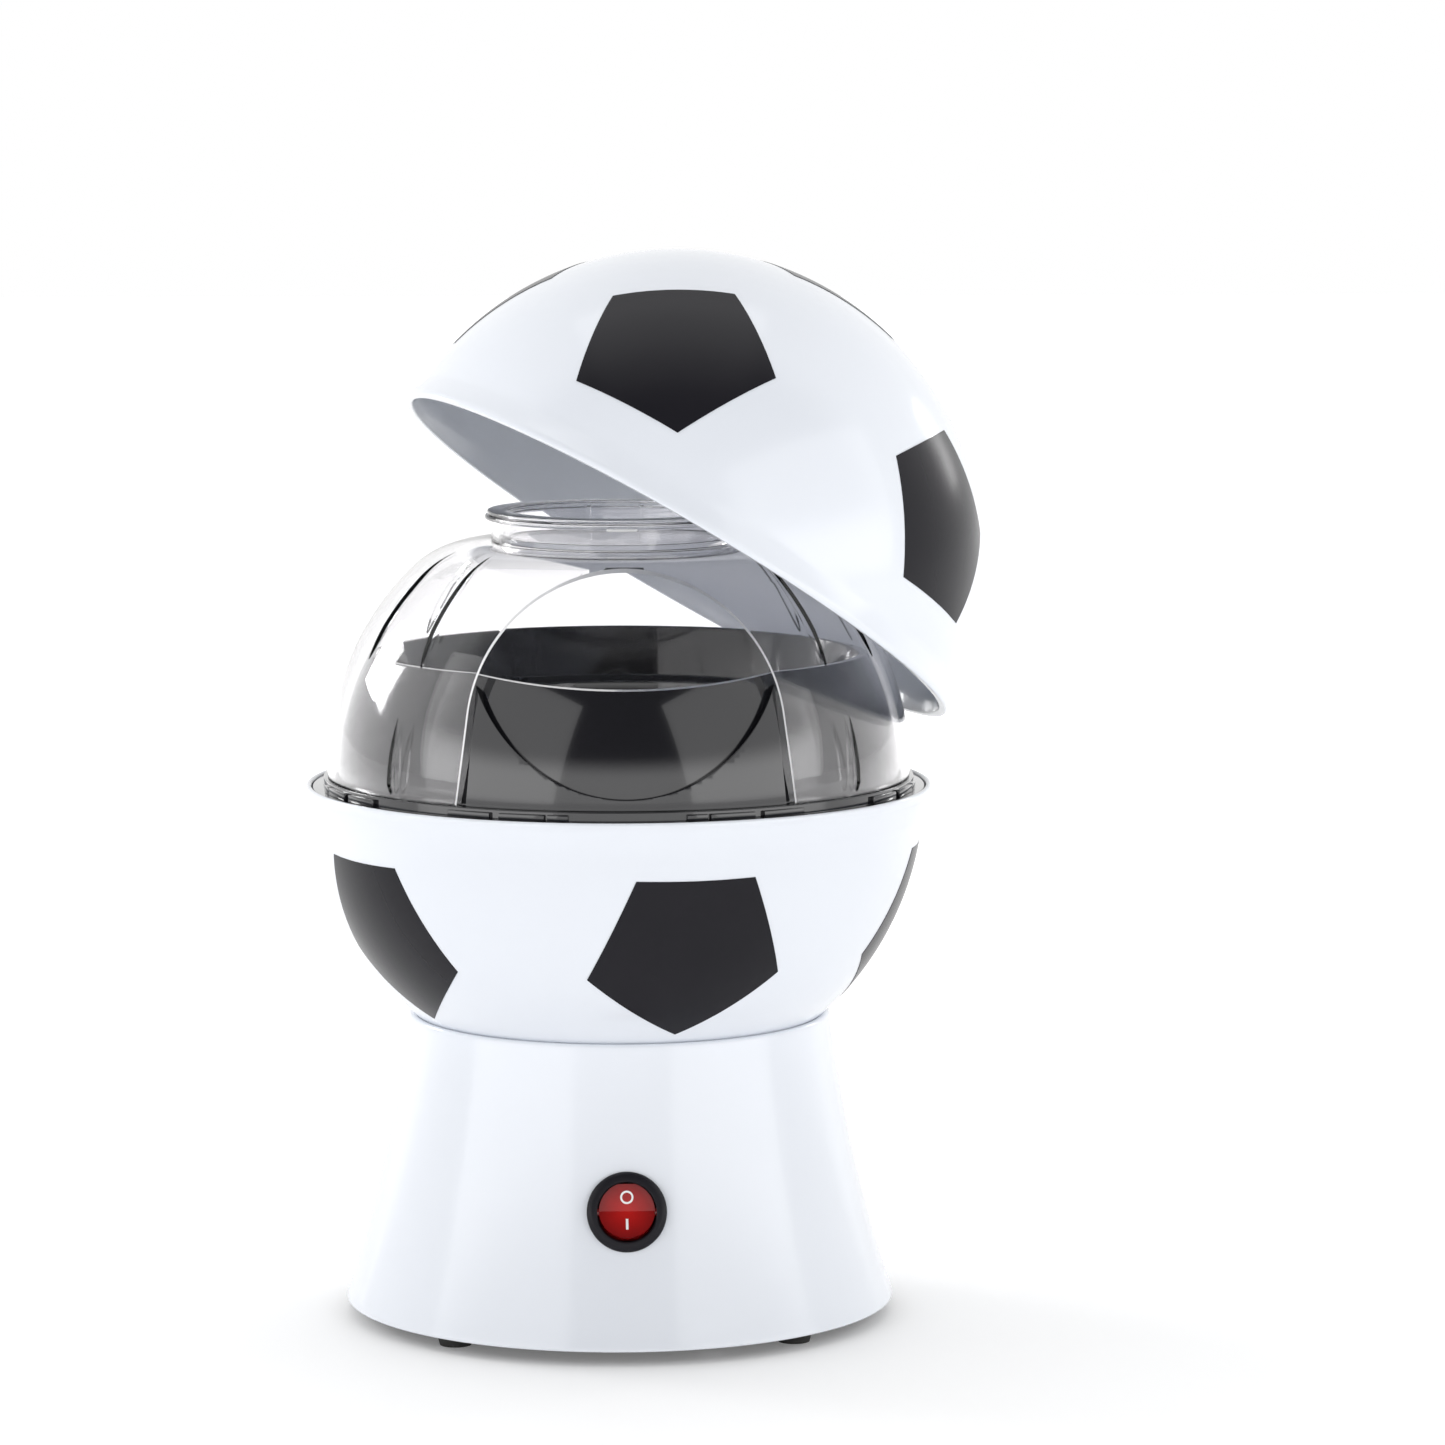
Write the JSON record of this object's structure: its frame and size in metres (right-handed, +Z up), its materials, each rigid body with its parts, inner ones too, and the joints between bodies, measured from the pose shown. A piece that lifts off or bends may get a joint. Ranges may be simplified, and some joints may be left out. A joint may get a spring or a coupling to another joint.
{
  "type": "popcorn maker",
  "caption": "Hot-air popcorn maker shaped like a football on a flared base, with a clear dome, a measuring cup, a rocker switch and a hemispherical lid held open.",
  "frame": {"origin": "on the plane that the feet stand on, at the vertical axis of the ball and base", "axes": "+Z up along the axis of the ball, front with the switch and the outlet arch towards -Y, +X to the right seen from the front"},
  "size_m": [0.1993, 0.1888, 0.3138],
  "materials": {
    "white_plastic": "high gloss moulded",
    "black_print": "satin gloss printed",
    "black_gloss": "gloss moulded",
    "black_satin": "satin moulded",
    "clear_plastic": "clear polished",
    "red_clear": "translucent red",
    "white_print": "printed",
    "rubber": "matt",
    "steel": "zinc plated",
    "tin_plate": "pressed sheet",
    "chamber_metal": "drawn, satin",
    "mica": "pressed sheet",
    "heater_wire": "oxidised resistance wire",
    "ceramic_tan": "unglazed",
    "circuit_board": "paper laminate",
    "brass": "stamped",
    "fan_nylon": "moulded"
  },
  "bodies": {
    "root": {"base_housing": "white_plastic", "base_plate": "black_satin", "rubber_feet": "rubber", "base_screws": "steel", "lower_bowl": "white_plastic", "bowl_patches": "black_print", "bowl_screws": "steel", "chute_collar": "black_gloss", "rim_ring": "black_gloss", "popping_chamber": "chamber_metal", "heater_shroud": "tin_plate", "collar_screws": "steel", "mica_cross": "mica", "heater_coil": "heater_wire", "thermostat": "ceramic_tan", "thermal_fuse": "tin_plate", "motor_can": "tin_plate", "motor_bracket": "tin_plate", "motor_screws": "steel", "rectifier_board": "circuit_board", "rectifier_diodes": "black_satin", "switch_body": "black_gloss", "switch_terminals": "brass", "cord_gland": "rubber", "gland_nut": "black_satin"},
    "rotor": {"motor_shaft": "steel", "fan": "fan_nylon"},
    "rocker": {"switch_rocker": "red_clear", "rocker_marks": "white_print"},
    "cover": {"clear_cover": "clear_plastic"},
    "cup": {"measuring_cup": "clear_plastic"},
    "lid": {"lid_shell": "white_plastic", "lid_patches": "black_print"}
  },
  "joints": [
    {"name": "fan_spin", "type": "hinge", "parent": "root", "child": "rotor", "pos_m": [0, 0, 0.056], "axis": [0, 0, 1], "continuous": true},
    {"name": "rocker_press", "type": "hinge", "parent": "root", "child": "rocker", "pos_m": [0, -0.06991, 0.04249], "axis": [1, 0, 0], "range_deg": [0, 20]},
    {"name": "cover_lift", "type": "slide", "parent": "root", "child": "cover", "axis": [0, 0, 1], "range_m": [0, 0.06]},
    {"name": "cup_lift", "type": "slide", "parent": "cover", "child": "cup", "axis": [0, 0, 1], "range_m": [0, 0.03]},
    {"name": "lid_lift", "type": "hinge", "parent": "cup", "child": "lid", "pos_m": [0.11306, 0.03993, 0.1602], "axis": [-0.333, 0.9429, 0], "range_deg": [-32.73, 40]}
  ]
}
